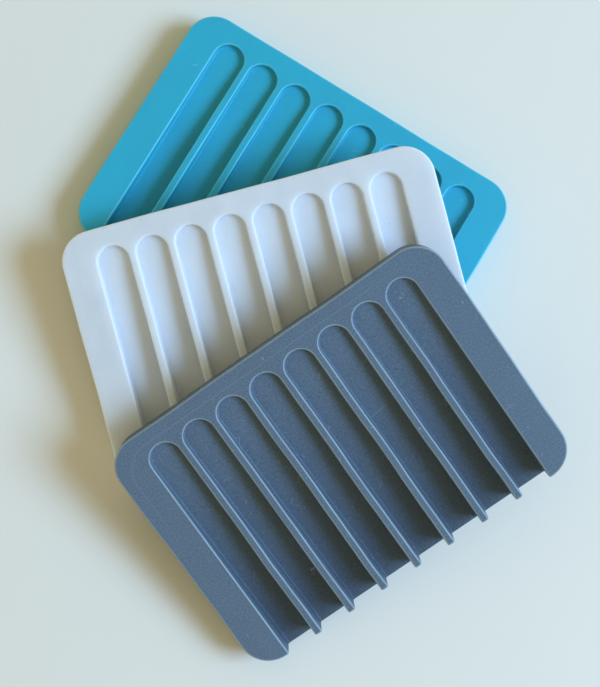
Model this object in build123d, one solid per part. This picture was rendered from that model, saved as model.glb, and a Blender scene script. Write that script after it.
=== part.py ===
from build123d import *
import math
import os

# Three self-draining soap trays, fanned out on a table top. Each tray is one silicone moulding: a flat
# plate with round corners and eight channels that run downhill to its open front side.
# The frame stands on the middle of the lowest tray's underside: X along its long side, Y to its closed
# back, Z up. The upper two trays lean on the front edge of the tray below, with a corner on the table.

# the moulding, in mm
length = 115.0
width = 81.0              # from the open front to the closed back
thickness = 10.0
corner_radius = 9.5
draft = 1.5               # degrees that every wall leans so that the moulding leaves its mould
channel_count = 8
side_rim = 10.5           # from the short side to the first channel
back_rim = 6.2            # from the closed back to the round ends of the channels
rib_width = 2.35
back_depth = 2.0          # channel depth at its round end
front_floor = 2.0         # what is left under the channel at its mouth
foot_radius = 0.5         # where the ribs meet the channel floor
mouth_radius = 0.6        # round the open front of each channel
rim_radius = 0.5          # round every edge of the top
base_radius = 1.4         # round the underside

# how the trays lie on one another
contact_gap = 0.2         # between two trays where they touch
white_along, white_back, white_turn = 12.7, 7.5, 46.3     # from the middle of the front edge below
grey_along, grey_back, grey_turn = 8.6, -2.7, 20.0

# worked out from the sizes above
channel_width = (length - 2 * side_rim - (channel_count - 1) * rib_width) / channel_count
channel_pitch = channel_width + rib_width
channel_end = width / 2 - back_rim
front_depth = thickness - front_floor
fall = (front_depth - back_depth) / (channel_end + width / 2)
base_inset = thickness * math.tan(math.radians(draft))    # how far the underside's edge lies inside the rim


def floor_height(y):
    """Height of the channel floor above the underside, at a place between front and back."""
    return thickness - back_depth - fall * (channel_end - y)


def channel():
    """The space of one channel, centred on X = 0, with its foot rounded and its mouth past the front."""
    front = -width / 2 - 5
    back = channel_end + 1
    top = thickness + 1
    centre = channel_end - channel_width / 2
    slot = Pos(0, (front + centre) / 2) * Rectangle(channel_width, centre - front)
    slot += Pos(0, centre) * Circle(channel_width / 2)
    slot = Pos(0, 0, thickness) * slot
    side = Polygon((front, floor_height(front)), (back, floor_height(back)), (back, top), (front, top), align=None)
    wedge = extrude(Plane.YZ * side, channel_width, both=True)
    space = wedge & (extrude(slot, -thickness, taper=draft) + extrude(slot, top - thickness))
    foot = space.faces().sort_by(Axis.Z)[0].edges().sort_by(Axis.Y)[1:]
    return fillet(foot, foot_radius)


def touches(shapes, edge):
    """Whether the middle of an edge lies on one of the shapes."""
    return any(shape.distance_to(edge @ 0.5) < 0.001 for shape in shapes)


def tray():
    """One moulding, with its underside on Z = 0."""
    rim = Pos(0, 0, thickness) * RectangleRounded(length, width, corner_radius)
    plate = extrude(rim, -thickness, taper=draft)
    sides = plate.faces().sort_by(Axis.Z)[1:-1]
    body = plate
    space = channel()
    for number in range(channel_count):
        body -= Pos((number - (channel_count - 1) / 2) * channel_pitch) * space
    mouths = [edge for edge in body.edges() if touches(sides, edge) and not touches(plate.edges(), edge)]
    body = fillet(mouths, mouth_radius)
    body = fillet(body.faces().sort_by(Axis.Z)[-1].edges(), rim_radius)
    return fillet(body.faces().sort_by(Axis.Z)[0].edges(), base_radius)


def lowest(place):
    """Height of the lowest point of a tray's rounded underside edge."""
    plane = Plane(place)
    along, across = plane.x_dir.Z, plane.y_dir.Z
    reach = (length / 2 - corner_radius) * abs(along) + (width / 2 - corner_radius) * abs(across)
    round_inset = base_inset + base_radius / math.tan(math.radians(45 + draft / 2))
    reach += (corner_radius - round_inset) * math.hypot(along, across) + base_radius
    return plane.origin.Z + base_radius * plane.z_dir.Z - reach


def leaning(below, along, back, turn):
    """Place of a tray that rests on the front edge of the one below and tips until it meets the table."""
    edge = below * Pos(0, rim_radius - width / 2, thickness - rim_radius)
    low, high = 0.0, 60.0
    while high - low > 1e-6:
        lean = (low + high) / 2
        place = edge * Rot(X=lean) * Pos(along, back, rim_radius + contact_gap) * Rot(Z=turn)
        if lowest(place) > 0:
            low = lean
        else:
            high = lean
    return edge * Rot(X=low) * Pos(along, back, rim_radius + contact_gap) * Rot(Z=turn)


blue_place = Pos(0, 0, 0)
white_place = leaning(blue_place, white_along, white_back, white_turn)
grey_place = leaning(white_place, grey_along, grey_back, grey_turn)

os.makedirs("parts", exist_ok=True)
moulding = tray()
for name, place in (("blue_tray", blue_place), ("white_tray", white_place), ("grey_tray", grey_place)):
    export_step(place * moulding, f"parts/{name}.step")
    corner = place.position
    print(name, [round(v, 2) for v in corner], [round(v, 2) for v in place.orientation])
print("channel width", round(channel_width, 2), "pitch", round(channel_pitch, 2), "volume", round(moulding.volume))
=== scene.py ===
import math

import bmesh
import bpy
import numpy as np
from mathutils import Matrix, Vector


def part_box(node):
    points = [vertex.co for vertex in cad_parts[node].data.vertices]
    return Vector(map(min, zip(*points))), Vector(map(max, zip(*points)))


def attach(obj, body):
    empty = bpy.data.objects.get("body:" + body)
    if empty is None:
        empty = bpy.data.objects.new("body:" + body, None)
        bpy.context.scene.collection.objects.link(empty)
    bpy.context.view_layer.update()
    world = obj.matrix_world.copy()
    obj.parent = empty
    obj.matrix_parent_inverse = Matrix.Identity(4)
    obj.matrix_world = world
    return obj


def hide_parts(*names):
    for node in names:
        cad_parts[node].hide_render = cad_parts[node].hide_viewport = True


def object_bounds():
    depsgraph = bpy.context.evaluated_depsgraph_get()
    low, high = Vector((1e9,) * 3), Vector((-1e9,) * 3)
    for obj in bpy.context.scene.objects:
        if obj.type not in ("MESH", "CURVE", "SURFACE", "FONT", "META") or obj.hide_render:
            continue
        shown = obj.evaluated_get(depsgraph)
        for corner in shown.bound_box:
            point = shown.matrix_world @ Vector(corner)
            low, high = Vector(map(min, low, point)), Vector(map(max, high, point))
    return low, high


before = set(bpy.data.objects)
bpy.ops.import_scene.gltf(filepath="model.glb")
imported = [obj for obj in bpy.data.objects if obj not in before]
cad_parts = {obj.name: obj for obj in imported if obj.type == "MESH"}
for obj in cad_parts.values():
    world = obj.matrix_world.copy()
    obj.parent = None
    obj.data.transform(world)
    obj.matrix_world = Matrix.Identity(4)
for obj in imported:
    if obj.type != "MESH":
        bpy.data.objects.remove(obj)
designed_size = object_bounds()


# The blue tray.
# The lowest of three soap trays, flat on the table: one moulding of soft silicone rubber with a flat
# rim, eight channels that run downhill to the open front, and thin ribs between them. It comes out of
# a fine-blasted steel mould, so it is satin, and its ribs and edges are never quite straight.

millimetre = 0.001
channel_count = 8
side_rim = 10.5 * millimetre
back_rim = 6.2 * millimetre
rib_width = 2.35 * millimetre
back_depth = 2.0 * millimetre
front_floor = 2.0 * millimetre
rim_radius = 0.5 * millimetre
cell = 2.4 * millimetre              # how finely the moulding is divided before it is bent

tray_low, tray_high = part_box("blue_tray")
tray_length, tray_width, thickness = tray_high - tray_low
channel_width = (tray_length - 2 * side_rim - (channel_count - 1) * rib_width) / channel_count
channel_pitch = channel_width + rib_width
channel_end = tray_width / 2 - back_rim
fall = (thickness - front_floor - back_depth) / (channel_end + tray_width / 2)


def straight_moulding():
    """The tray as drawn, divided into small cells so that it can bend, with its rim edge and depth marked."""
    shape = bmesh.new()
    shape.from_mesh(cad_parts["blue_tray"].data)
    same_corner = 0.002 * millimetre
    bmesh.ops.remove_doubles(shape, verts=shape.verts, dist=same_corner)
    for axis, extent in ((Vector((1, 0, 0)), tray_length), (Vector((0, 1, 0)), tray_width)):
        cuts = int(extent / cell)
        for number in range(1, cuts):
            place = axis * (extent * (number / cuts - 0.5))
            everything = shape.verts[:] + shape.edges[:] + shape.faces[:]
            bmesh.ops.bisect_plane(
                shape, geom=everything, dist=0.001 * millimetre, plane_co=place, plane_no=axis
            )
    shortest_edge = 0.004 * millimetre
    bmesh.ops.dissolve_degenerate(shape, edges=shape.edges, dist=shortest_edge)
    mesh = bpy.data.meshes.new("moulding")
    shape.to_mesh(mesh)
    shape.free()
    mesh.materials.clear()
    height = np.array([corner.co.z for corner in mesh.vertices])
    on_rim = (height > thickness - rim_radius * 0.95) & (height < thickness - rim_radius * 0.004)
    depth = np.clip((thickness - height - 2 * rim_radius) / (thickness - front_floor), 0, 1)
    for name, share in (("rim_edge", on_rim), ("depth", depth)):
        mark = mesh.attributes.new(name, "FLOAT", "POINT")
        mark.data.foreach_set("value", share.astype(np.float32))
    return mesh


def ease(value, start, end):
    """0 before start, 1 after end, and smooth between them."""
    share = np.clip((value - start) / (end - start), 0, 1)
    return share * share * (3 - 2 * share)


def ripple(draw, along, length, size):
    """A gentle wave of about that length and size, never the same twice."""
    total = np.zeros_like(along)
    for part, share in ((1.0, 0.6), (0.47, 0.28), (0.23, 0.12)):
        stretch = length * part * draw.uniform(0.85, 1.15)
        total += size * share * np.sin(2 * np.pi * along / stretch + draw.uniform(0, 2 * np.pi))
    return total


def bent_moulding(name, seed, rib_sway, rim_sway, unevenness):
    """A copy of the moulding with ribs that sway, sides that wander and tops that aren't quite flat."""
    draw = np.random.default_rng(seed)
    mesh = moulding.copy()
    mesh.name = name
    corners = np.zeros(len(mesh.vertices) * 3)
    mesh.vertices.foreach_get("co", corners)
    corners = corners.reshape(-1, 3)
    x, y, z = corners.T.copy()
    floor = thickness - back_depth - fall * (channel_end - y)
    above = np.clip((z - floor) / (thickness - floor), 0, 1) ** 1.3
    free = 1 - ease(y, channel_end - 16 * millimetre, channel_end - 4 * millimetre)
    toward_front = 0.45 + 0.55 * ease(-y, -channel_end, tray_width / 2)
    rib = np.round(x / channel_pitch)
    outermost_rib = channel_count // 2 - 1
    for number in range(-outermost_rib, outermost_rib + 1):
        sway = ripple(draw, y, 52 * millimetre, rib_sway * draw.uniform(0.5, 1.2))
        corners[:, 0] += np.where(rib == number, sway * above * free * toward_front, 0)
    # the outside walls move together with the rim above them
    near_side = ease(np.abs(x), tray_length / 2 - 9 * millimetre, tray_length / 2)
    near_back = ease(y, tray_width / 2 - 5 * millimetre, tray_width / 2)
    corners[:, 0] += near_side * ripple(draw, y + np.sign(x), 60 * millimetre, rim_sway)
    corners[:, 1] += near_back * ripple(draw, x, 70 * millimetre, rim_sway)
    top = ease(z, floor - 0.3 * millimetre, floor) * ease(z, 0.5 * millimetre, 1.5 * millimetre)
    corners[:, 2] += top * ripple(draw, x + 0.4 * y, 34 * millimetre, unevenness)
    corners[:, 2] += top * ripple(draw, y - 0.3 * x, 27 * millimetre, unevenness)
    mesh.vertices.foreach_set("co", corners.ravel())
    mesh.polygons.foreach_set("use_smooth", [True] * len(mesh.polygons))
    sharpest_round = 55                  # degrees between two faces that still look round
    mesh.set_sharp_from_angle(angle=math.radians(sharpest_round))
    mesh.update()
    return mesh


def place_tray(mesh, node, body, finish, turns):
    """Lays a moulding where the tray of that name is: turned about X, Y and Z, then moved to meet its box."""
    turn = Matrix.Identity(3)
    for degrees, axis in zip(turns, "XYZ"):
        turn = turn @ Matrix.Rotation(math.radians(degrees), 3, axis)
    straight = np.zeros(len(moulding.vertices) * 3)
    moulding.vertices.foreach_get("co", straight)
    turned = straight.reshape(-1, 3) @ np.array(turn).T
    low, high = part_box(node)
    middle = (low + high) / 2 - Vector((turned.min(0) + turned.max(0)) / 2)
    tray = bpy.data.objects.new(mesh.name, mesh)
    bpy.context.scene.collection.objects.link(tray)
    tray.matrix_world = Matrix.Translation(middle) @ turn.to_4x4()
    mesh.materials.append(finish)
    shading = tray.modifiers.new("flat faces stay flat", "WEIGHTED_NORMAL")
    shading.mode = "FACE_AREA"
    shading.keep_sharp = True
    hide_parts(node)
    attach(tray, body)
    return tray


class Finish:
    """One value, colour or vector in a material. Arithmetic on values adds the Math nodes."""

    def __init__(self, tree, socket=None):
        self.tree = tree
        self.socket = socket

    def node(self, kind, settings, sockets, output=0):
        """Adds any node: its settings first, then what goes into its sockets. Gives one of its outputs."""
        added = self.tree.nodes.new(kind)
        for name, value in settings.items():
            setattr(added, name, value)
        for name, value in sockets.items():
            if isinstance(value, Finish):
                self.tree.links.new(value.socket, added.inputs[name])
            else:
                added.inputs[name].default_value = value
        return Finish(self.tree, added.outputs[output]) if added.outputs else None

    def maths(self, operation, first, second=0.0):
        return self.node("ShaderNodeMath", {"operation": operation}, {0: first, 1: second})

    def __add__(self, other):
        return self.maths("ADD", self, other)

    def __radd__(self, other):
        return self.maths("ADD", other, self)

    def __sub__(self, other):
        return self.maths("SUBTRACT", self, other)

    def __rsub__(self, other):
        return self.maths("SUBTRACT", other, self)

    def __mul__(self, other):
        return self.maths("MULTIPLY", self, other)

    def __rmul__(self, other):
        return self.maths("MULTIPLY", other, self)

    def magnitude(self):
        return self.maths("ABSOLUTE", self)

    def larger(self, other):
        return self.maths("MAXIMUM", self, other)

    def smaller(self, other):
        return self.maths("MINIMUM", self, other)

    def within(self, low, high):
        """0 up to low, 1 from high on, and smooth between them."""
        smooth = {"interpolation_type": "SMOOTHSTEP"}
        limits = {"From Min": low, "From Max": high, "To Min": 0.0, "To Max": 1.0}
        return self.node("ShaderNodeMapRange", smooth, {"Value": self, **limits})

    def vector(self, operation, first, second=(0, 0, 0), output=0):
        return self.node("ShaderNodeVectorMath", {"operation": operation}, {0: first, 1: second}, output)

    def scaled(self, amount):
        """A colour or vector made that much stronger."""
        return self.node("ShaderNodeVectorMath", {"operation": "SCALE"}, {0: self, "Scale": amount})

    def mixed(self, other, share):
        """This colour, turning into another one where share is 1. Colours go in at 6 and 7."""
        return self.node("ShaderNodeMix", {"data_type": "RGBA"}, {0: share, 6: self, 7: other}, 2)


def clouds(place, size, detail=2.0):
    """Soft blotches of about that size in mm, around 0.5."""
    return place.node("ShaderNodeTexNoise", {}, {"Vector": place, "Scale": 1 / size, "Detail": detail})


def specks(place, spacing, size, share, shift):
    """Round specks of that size in mm. Only that share of the cells has one."""
    moved = place.vector("ADD", place, shift)
    cells = {"Vector": moved, "Scale": 1 / spacing}
    distance = place.node("ShaderNodeTexVoronoi", {}, cells)
    chance = place.node("ShaderNodeTexVoronoi", {}, cells, "Color")
    chance = place.node("ShaderNodeSeparateColor", {}, {0: chance})
    radius = size / spacing
    return (1 - distance.within(radius * 0.5, radius)) * chance.within(1 - share, 1 - share + 0.02)


def lint(place, share, shift):
    """Short curled fibres that cling to rubber."""
    moved = place.vector("ADD", place, shift)
    curl = 4.0                           # how far a fibre strays from straight, in mm
    core, edge = 0.002, 0.011            # half a fibre's width, as a share of the space between fibres
    bend = place.node("ShaderNodeTexNoise", {}, {"Vector": moved, "Scale": 0.5, "Detail": 0.0}, "Color")
    curled = place.vector("ADD", moved, bend.scaled(curl))
    edges = {"feature": "DISTANCE_TO_EDGE"}
    thread = place.node("ShaderNodeTexVoronoi", edges, {"Vector": curled, "Scale": 0.13})
    patch = place.node("ShaderNodeTexNoise", {}, {"Vector": moved, "Scale": 0.45, "Detail": 0.0})
    return (1 - thread.within(core, edge)) * patch.within(1 - share, 1.02 - share)


def parting_line(x, y, z):
    """The fine seam round the outside of the plate where the two halves of the mould met, below the rim."""
    below_rim = 1.3
    past_channels = (49.0, 50.0)         # in mm from the middle of the tray, like the next two
    past_round_ends = (35.0, 36.0)
    front_face = (39.4, 39.6)
    core, edge = 0.08, 0.22              # half the seam's width, in mm
    height = thickness / millimetre - below_rim
    outside = x.magnitude().within(*past_channels).larger(y.within(*past_round_ends))
    outside = outside.larger((-1 * y).within(*front_face))
    return outside * (1 - (z - height).magnitude().within(core, edge))


def silicone(
    name,
    colour,
    edge,
    dust,
    soil,
    gloss,
    grainy,
    softness,
    glow_depth,
    dusty,
    soiled,
    linty,
    painted_depth_shade,
    seed,
    marks=None,
):
    """Satin moulded silicone: cloudy pigment, blasted grain, edges lighter partly from wear and partly as a
    painted highlight, painted shade deeper down, clinging dust and lint.
    """
    relief_height = 0.00002              # in metres, where relief is 1
    made = bpy.data.materials.new(name)
    made.use_nodes = True
    made.node_tree.nodes.clear()
    start = Finish(made.node_tree)
    here = start.node("ShaderNodeTexCoord", {}, {}, "Object").scaled(1 / millimetre)
    x, y, z = (start.node("ShaderNodeSeparateXYZ", {}, {"Vector": here}, axis) for axis in range(3))
    place = here.vector("ADD", here, (seed * 311.0, seed * 173.0, seed * 59.0))
    rim = start.node("ShaderNodeAttribute", {"attribute_name": "rim_edge"}, {}, 2)
    depth = start.node("ShaderNodeAttribute", {"attribute_name": "depth"}, {}, 2)
    pigment = clouds(place, 24.0)
    streaks = clouds(place.vector("MULTIPLY", place, (1.0, 0.35, 1.0)), 5.0)
    grain = clouds(place, 0.5, 1.0)
    light_specks = specks(place, 1.8, 0.13, dusty, (3, 5, 1))
    dark_specks = specks(place, 3.4, 0.20, soiled, (31, 7, 13))
    fibres = lint(place, linty, (11, 2, 17))
    seam = parting_line(x, y, z)
    shade = 1 + 0.16 * (pigment - 0.5) + 0.09 * (streaks - 0.5) + grainy * (grain - 0.5)
    tint = start.node("ShaderNodeRGB", {}, {})
    tint.socket.default_value = (*colour, 1)
    # painted shade: the colour darkens the further a surface lies below the rim, down the channels and the
    # outer walls
    tint = tint.scaled(shade * (1 - painted_depth_shade * depth))
    # the rounded rim edges turn lighter: partly edge wear, partly a painted highlight
    tint = tint.mixed((*edge, 1), rim * (0.8 + 0.6 * (streaks - 0.5)))
    tint = tint.mixed((*dust, 1), light_specks * 0.7)
    tint = tint.mixed((*dust, 1), fibres * 0.55)
    tint = tint.mixed((*soil, 1), dark_specks * 0.8)
    tint = tint.mixed((*soil, 1), seam * 0.45)
    relief = (
        grain * 0.8 + 0.35 * streaks + light_specks * 2.5 + fibres * 2.0
        - 1.2 * dark_specks - 3.0 * seam
    )
    polish = gloss + 0.12 * (pigment - 0.5) + 0.10 * (grain - 0.5) - 0.16 * rim + 0.3 * light_specks
    if marks:
        tint, relief, polish = marks(here, x, y, z, tint, relief, polish)
    bump = start.node("ShaderNodeBump", {}, {"Strength": 0.6, "Distance": relief_height, "Height": relief})
    body = {
        "Base Color": tint,
        "Roughness": polish,
        "Normal": bump,
        "IOR": 1.41,
        "Subsurface Weight": softness,
        "Subsurface Radius": (1.0, 0.9, 0.8),
        "Subsurface Scale": glow_depth,
    }
    rubber = start.node("ShaderNodeBsdfPrincipled", {}, body)
    start.node("ShaderNodeOutputMaterial", {}, {"Surface": rubber})
    return made


moulding = straight_moulding()
blue_rubber = silicone(
    "blue_silicone",
    colour=(0.030, 0.455, 0.62),
    edge=(0.12, 0.60, 0.74),
    dust=(0.35, 0.62, 0.72),
    soil=(0.01, 0.10, 0.16),
    gloss=0.54,
    grainy=0.12,
    softness=0.15,
    glow_depth=1.0 * millimetre,
    dusty=0.06,
    soiled=0.14,
    linty=0.24,
    painted_depth_shade=0.15,
    seed=1,
)
blue = bent_moulding(
    "blue", 11, rib_sway=0.16 * millimetre, rim_sway=0.10 * millimetre, unevenness=0.03 * millimetre
)
place_tray(blue, "blue_tray", "blue", blue_rubber, turns=(0, 0, 0))


# The white tray.
# The same moulding in white silicone, which lets light a little way in, so its channels look soft.
# It lies across the blue tray's open front edge and leans down to the table on one corner.

white_rubber = silicone(
    "white_silicone",
    colour=(0.82, 0.825, 0.86),
    edge=(0.90, 0.90, 0.92),
    dust=(0.62, 0.60, 0.56),
    soil=(0.34, 0.33, 0.31),
    gloss=0.56,
    grainy=0.05,
    softness=1.0,
    glow_depth=3.0 * millimetre,
    dusty=0.04,
    soiled=0.10,
    linty=0.22,
    painted_depth_shade=0.08,
    seed=2,
)
white = bent_moulding(
    "white", 23, rib_sway=0.14 * millimetre, rim_sway=0.10 * millimetre, unevenness=0.03 * millimetre
)
place_tray(white, "white_tray", "white", white_rubber, turns=(10.37, 0, 46.3))


# The grey tray.
# The same moulding in dark slate silicone, on top of the white tray. It shows handling most: dust,
# lint, hairline scratches, and a witness line that the mould's insert left inside its back edge.

# where each hairline starts and ends on the tray's top, in mm from its middle
grey_scratches = (
    ((14.0, 4.1), (19.5, 4.8)),
    ((-15.2, 0.2), (-13.4, 2.6)),
    ((-22.4, 20.2), (-21.3, 21.9)),
    ((-21.3, 21.9), (-22.6, 22.6)),
    ((-20.6, -3.8), (-19.2, -2.6)),
    ((3.6, -15.6), (5.0, -14.2)),
    ((33.6, -6.2), (34.6, -3.9)),
    ((-43.2, -16.4), (-42.0, -14.9)),
)


def scratch(here, start, end, half_width):
    """A hairline between two points of the tray's top, in mm."""
    run = Vector((*end, 0)) - Vector((*start, 0))
    flat = here.vector("MULTIPLY", here, (1, 1, 0))
    past = here.vector("SUBTRACT", flat, (*start, 0))
    along = here.vector("DOT_PRODUCT", past, run, 1)
    clamped = {"operation": "MULTIPLY", "use_clamp": True}
    share = here.node("ShaderNodeMath", clamped, {0: along, 1: 1 / run.length_squared})
    nearest = here.node("ShaderNodeVectorMath", {"operation": "SCALE"}, {0: run, "Scale": share})
    away = here.vector("DISTANCE", past, nearest, 1)
    return 1 - away.within(half_width * 0.4, half_width)


def witness_line(x, y, z):
    """The step that the mould's insert leaves 4 mm inside the back edge and round its corners."""
    corner = 9.0
    inside_sides = 3.7
    inside_back = 4.0
    core, edge = 0.06, 0.26              # half the line's width
    past_side = x.magnitude() - (tray_length / 2 / millimetre - inside_sides - corner)
    past_back = y - (tray_width / 2 / millimetre - inside_back - corner)
    side_part = past_side.larger(0.0)
    back_part = past_back.larger(0.0)
    outward = side_part * side_part + back_part * back_part
    away = outward.maths("SQRT", outward) + past_side.larger(past_back).smaller(0.0) - corner
    # the line fades along both sides, and is fainter towards +X
    faded = y.within(-4.0, 26.0) * (1 - 0.75 * x.within(25.0, 50.0))
    on_top = z.within(thickness / millimetre - 0.5, thickness / millimetre - 0.2)
    return (1 - away.magnitude().within(core, edge)) * faded * on_top


def handling_marks(here, x, y, z, tint, relief, polish):
    """Hairline scratches and the witness line, on top of the bare rubber."""
    worn_grey = (0.27, 0.34, 0.40, 1)
    worn = witness_line(x, y, z) * 0.5
    for start, end in grey_scratches:
        worn = worn.larger(scratch(here, start, end, half_width=0.16))
    return tint.mixed(worn_grey, worn * 0.5), relief - 3.0 * worn, polish - 0.1 * worn


grey_rubber = silicone(
    "grey_silicone",
    colour=(0.132, 0.182, 0.248),
    edge=(0.33, 0.41, 0.46),
    dust=(0.42, 0.47, 0.52),
    soil=(0.03, 0.035, 0.04),
    gloss=0.55,
    grainy=0.85,
    softness=0.05,
    glow_depth=0.5 * millimetre,
    dusty=0.7,
    soiled=0.45,
    linty=0.28,
    painted_depth_shade=0.45,
    seed=3,
    marks=handling_marks,
)
grey = bent_moulding(
    "grey", 37, rib_sway=0.22 * millimetre, rim_sway=0.16 * millimetre, unevenness=0.04 * millimetre
)
place_tray(grey, "grey_tray", "grey", grey_rubber, turns=(14.66, 4.48, 66.13))


# The table.
# A plain pale matt surface under the trays, which isn't part of them.

below_trays = 0.2 * millimetre
bpy.ops.mesh.primitive_plane_add(size=16, location=(0, 0, -below_trays))
table = bpy.context.object
table.name = "table"
pale = bpy.data.materials.new("pale_table")
pale.use_nodes = True
pale.node_tree.nodes.clear()
start = Finish(pale.node_tree)
place = start.node("ShaderNodeTexCoord", {}, {}, "Object").scaled(1 / millimetre)
tone = start.node("ShaderNodeRGB", {}, {})
tone.socket.default_value = (0.96, 0.87, 0.76, 1)
tone = tone.scaled(0.98 + 0.04 * clouds(place, 60.0))
matt = start.node("ShaderNodeBsdfPrincipled", {}, {"Base Color": tone, "Roughness": 0.9})
start.node("ShaderNodeOutputMaterial", {}, {"Surface": matt})
table.data.materials.append(pale)


# The light.
# A cool window to the right, half overhead, and a dim warm room all round.

middle = (designed_size[0] + designed_size[1]) / 2


def soft_light(name, direction, distance, size, power, colour):
    """A square of light that faces the trays."""
    lamp = bpy.data.lights.new(name, "AREA")
    lamp.energy = power
    lamp.size = size
    lamp.color = colour
    holder = bpy.data.objects.new(name, lamp)
    bpy.context.scene.collection.objects.link(holder)
    holder.location = middle + Vector(direction).normalized() * distance
    holder.rotation_euler = (middle - holder.location).to_track_quat("-Z", "Y").to_euler()


soft_light(
    "window",
    direction=(0.679, 0.302, 0.669),
    distance=1.8,
    size=0.84,
    power=40.0,
    colour=(0.33, 0.575, 0.93),
)
room = bpy.data.worlds.new("room")
room.use_nodes = True
room.node_tree.nodes["Background"].inputs["Color"].default_value = (1.0, 0.97, 0.64, 1)
room.node_tree.nodes["Background"].inputs["Strength"].default_value = 0.42
bpy.context.scene.world = room
bpy.context.scene.view_settings.view_transform = "Standard"


# The camera.
# It looks almost straight down on the fan, from a little in front, with the trays turned in its view.

camera = bpy.data.objects.new("camera", bpy.data.cameras.new("camera"))
bpy.context.scene.collection.objects.link(camera)
camera.data.sensor_fit = "HORIZONTAL"
camera.data.sensor_width = 36
camera.data.lens = 88.54
camera.data.clip_start = 0.01
right = (0.854, 0.5133, 0.0845)
up = (-0.5199, 0.8482, 0.1015)
back = (-0.0196, -0.1306, 0.9912)
facing = Matrix((right, up, back)).transposed()
from_middle = Vector((-0.01105, -0.0528, 0.43687))
camera.matrix_world = Matrix.Translation(middle + from_middle) @ facing.to_4x4()
bpy.context.scene.camera = camera
